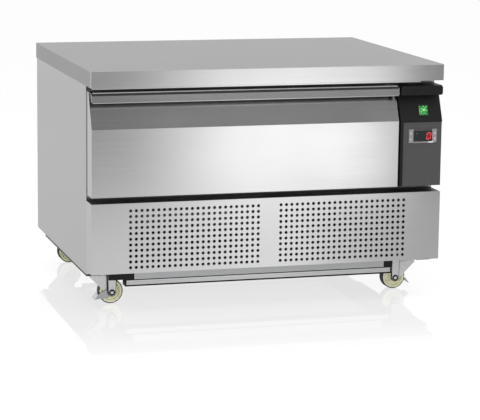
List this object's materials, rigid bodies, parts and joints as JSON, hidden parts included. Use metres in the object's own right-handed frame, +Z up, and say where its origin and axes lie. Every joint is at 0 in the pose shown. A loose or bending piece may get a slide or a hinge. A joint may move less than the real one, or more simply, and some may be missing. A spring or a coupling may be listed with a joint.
{
  "type": "refrigerated drawer unit",
  "caption": "Low stainless refrigerated base on casters: one wide pan drawer, a control box beside it, a perforated lower panel and a flat worktop.",
  "frame": {"origin": "on the floor, under the middle of the worktop", "axes": "+X to the right as one faces the drawer, +Y to the back, +Z up; the drawer opens towards -Y"},
  "size_m": [0.9, 0.692, 0.593],
  "materials": {
    "stainless": "brushed",
    "galvanised": "satin",
    "zinc": "satin",
    "dark_steel": "satin",
    "grey_paint": "matte",
    "tray_grey": "satin",
    "black_plastic": "matte",
    "white_plastic": "matte",
    "grey_plastic": "matte",
    "blade_plastic": "matte",
    "rocker_green": "gloss",
    "display": "gloss",
    "nylon": "satin",
    "gasket_rubber": "matte",
    "foam": "matte",
    "board": "matte",
    "aluminium": "satin",
    "copper": "satin"
  },
  "bodies": {
    "cabinet": {"worktop": "stainless", "worktop_core": "board", "side_panel_left": "stainless", "side_panel_right": "stainless", "front_frame": "stainless", "back_panel": "stainless", "rear_grille": "galvanised", "cable_gland": "black_plastic", "foam_shell": "foam", "liner": "stainless", "box_floor": "galvanised", "base_plate": "dark_steel", "base_tray": "tray_grey", "cross_rails": "aluminium", "rail_end_caps": "black_plastic", "lower_front_panel": "stainless", "lower_panel_frame": "dark_steel", "compressor": "dark_steel", "compressor_mounts": "gasket_rubber", "condenser_coil": "aluminium", "condenser_shroud": "galvanised", "condenser_motor": "grey_paint", "refrigerant_pipes": "copper", "evaporation_tray": "black_plastic", "evaporator_cover": "stainless", "evaporator_coil": "aluminium", "evaporator_motor": "grey_paint", "control_housing": "black_plastic", "control_fascia": "grey_paint", "thermostat_bezel": "black_plastic", "display_window": "display", "switch_frame": "black_plastic", "slide_outers": "zinc", "caster_plates": "zinc", "caster_bolts": "zinc"},
    "drawer": {"slide_inners": "zinc", "drawer_skin": "stainless", "drawer_foam": "foam", "drawer_plug": "white_plastic", "drawer_gasket": "gasket_rubber", "drawer_frame": "stainless", "pan_divider": "stainless"},
    "slide_middle": {"slide_middles": "zinc"},
    "condenser_blades": {"condenser_fan": "blade_plastic"},
    "evaporator_blades": {"evaporator_fan": "white_plastic"},
    "rocker": {"rocker_switch": "rocker_green"},
    "key_up": {"key_up": "grey_plastic"},
    "key_down": {"key_down": "grey_plastic"},
    "key_set": {"key_set": "grey_plastic"},
    "key_light": {"key_light": "grey_plastic"},
    "caster_fl": {"fork_fl": "zinc"},
    "rolling_fl": {"wheel_fl": "nylon"},
    "brake_fl": {"pedal_fl": "zinc"},
    "caster_fr": {"fork_fr": "zinc"},
    "rolling_fr": {"wheel_fr": "nylon"},
    "brake_fr": {"pedal_fr": "zinc"},
    "caster_rl": {"fork_rl": "zinc"},
    "rolling_rl": {"wheel_rl": "nylon"},
    "caster_rr": {"fork_rr": "zinc"},
    "rolling_rr": {"wheel_rr": "nylon"}
  },
  "joints": [
    {"name": "drawer_slide", "type": "slide", "parent": "cabinet", "child": "drawer", "axis": [0, -1, 0], "range_m": [0, 0.54]},
    {"name": "middle_slide", "type": "slide", "parent": "cabinet", "child": "slide_middle", "axis": [0, -1, 0], "range_m": [0, 0.27]},
    {"name": "condenser_fan_spin", "type": "hinge", "parent": "cabinet", "child": "condenser_blades", "pos_m": [-0.18, -0.186, 0.165], "axis": [0, 1, 0], "continuous": true},
    {"name": "evaporator_fan_spin", "type": "hinge", "parent": "cabinet", "child": "evaporator_blades", "pos_m": [0.2992, 0.0498, 0.367], "axis": [1, 0, 0], "continuous": true},
    {"name": "rocker_tip", "type": "hinge", "parent": "cabinet", "child": "rocker", "pos_m": [0.4, -0.33012, 0.47501], "axis": [1, 0, 0], "range_deg": [-12, 0]},
    {"name": "key_up_press", "type": "slide", "parent": "cabinet", "child": "key_up", "axis": [0, 1, 0], "range_m": [0, 0.0008], "stiffness_N_per_m": 600},
    {"name": "key_down_press", "type": "slide", "parent": "cabinet", "child": "key_down", "axis": [0, 1, 0], "range_m": [0, 0.0008], "stiffness_N_per_m": 600},
    {"name": "key_set_press", "type": "slide", "parent": "cabinet", "child": "key_set", "axis": [0, 1, 0], "range_m": [0, 0.0008], "stiffness_N_per_m": 600},
    {"name": "key_light_press", "type": "slide", "parent": "cabinet", "child": "key_light", "axis": [0, 1, 0], "range_m": [0, 0.0008], "stiffness_N_per_m": 600},
    {"name": "swivel_fl", "type": "hinge", "parent": "cabinet", "child": "caster_fl", "pos_m": [-0.3945, -0.216, 0.077], "axis": [0, 0, 1], "continuous": true},
    {"name": "roll_fl", "type": "hinge", "parent": "caster_fl", "child": "rolling_fl", "pos_m": [-0.3735, -0.216, 0.031], "axis": [0, 1, 0], "continuous": true},
    {"name": "brake_press_fl", "type": "hinge", "parent": "caster_fl", "child": "brake_fl", "pos_m": [-0.3735, -0.216, 0.031], "axis": [0, -1, 0], "range_deg": [0, 12]},
    {"name": "swivel_fr", "type": "hinge", "parent": "cabinet", "child": "caster_fr", "pos_m": [0.3945, -0.216, 0.077], "axis": [0, 0, 1], "continuous": true},
    {"name": "roll_fr", "type": "hinge", "parent": "caster_fr", "child": "rolling_fr", "pos_m": [0.3735, -0.216, 0.031], "axis": [0, 1, 0], "continuous": true},
    {"name": "brake_press_fr", "type": "hinge", "parent": "caster_fr", "child": "brake_fr", "pos_m": [0.3735, -0.216, 0.031], "axis": [0, 1, 0], "range_deg": [0, 12]},
    {"name": "swivel_rl", "type": "hinge", "parent": "cabinet", "child": "caster_rl", "pos_m": [-0.3945, 0.29, 0.077], "axis": [0, 0, 1], "continuous": true},
    {"name": "roll_rl", "type": "hinge", "parent": "caster_rl", "child": "rolling_rl", "pos_m": [-0.3735, 0.29, 0.031], "axis": [0, 1, 0], "continuous": true},
    {"name": "swivel_rr", "type": "hinge", "parent": "cabinet", "child": "caster_rr", "pos_m": [0.3945, 0.29, 0.077], "axis": [0, 0, 1], "continuous": true},
    {"name": "roll_rr", "type": "hinge", "parent": "caster_rr", "child": "rolling_rr", "pos_m": [0.3735, 0.29, 0.031], "axis": [0, 1, 0], "continuous": true}
  ],
  "couplings": [
    {"joint": "middle_slide", "follows": "drawer_slide", "ratio": 0.5}
  ]
}
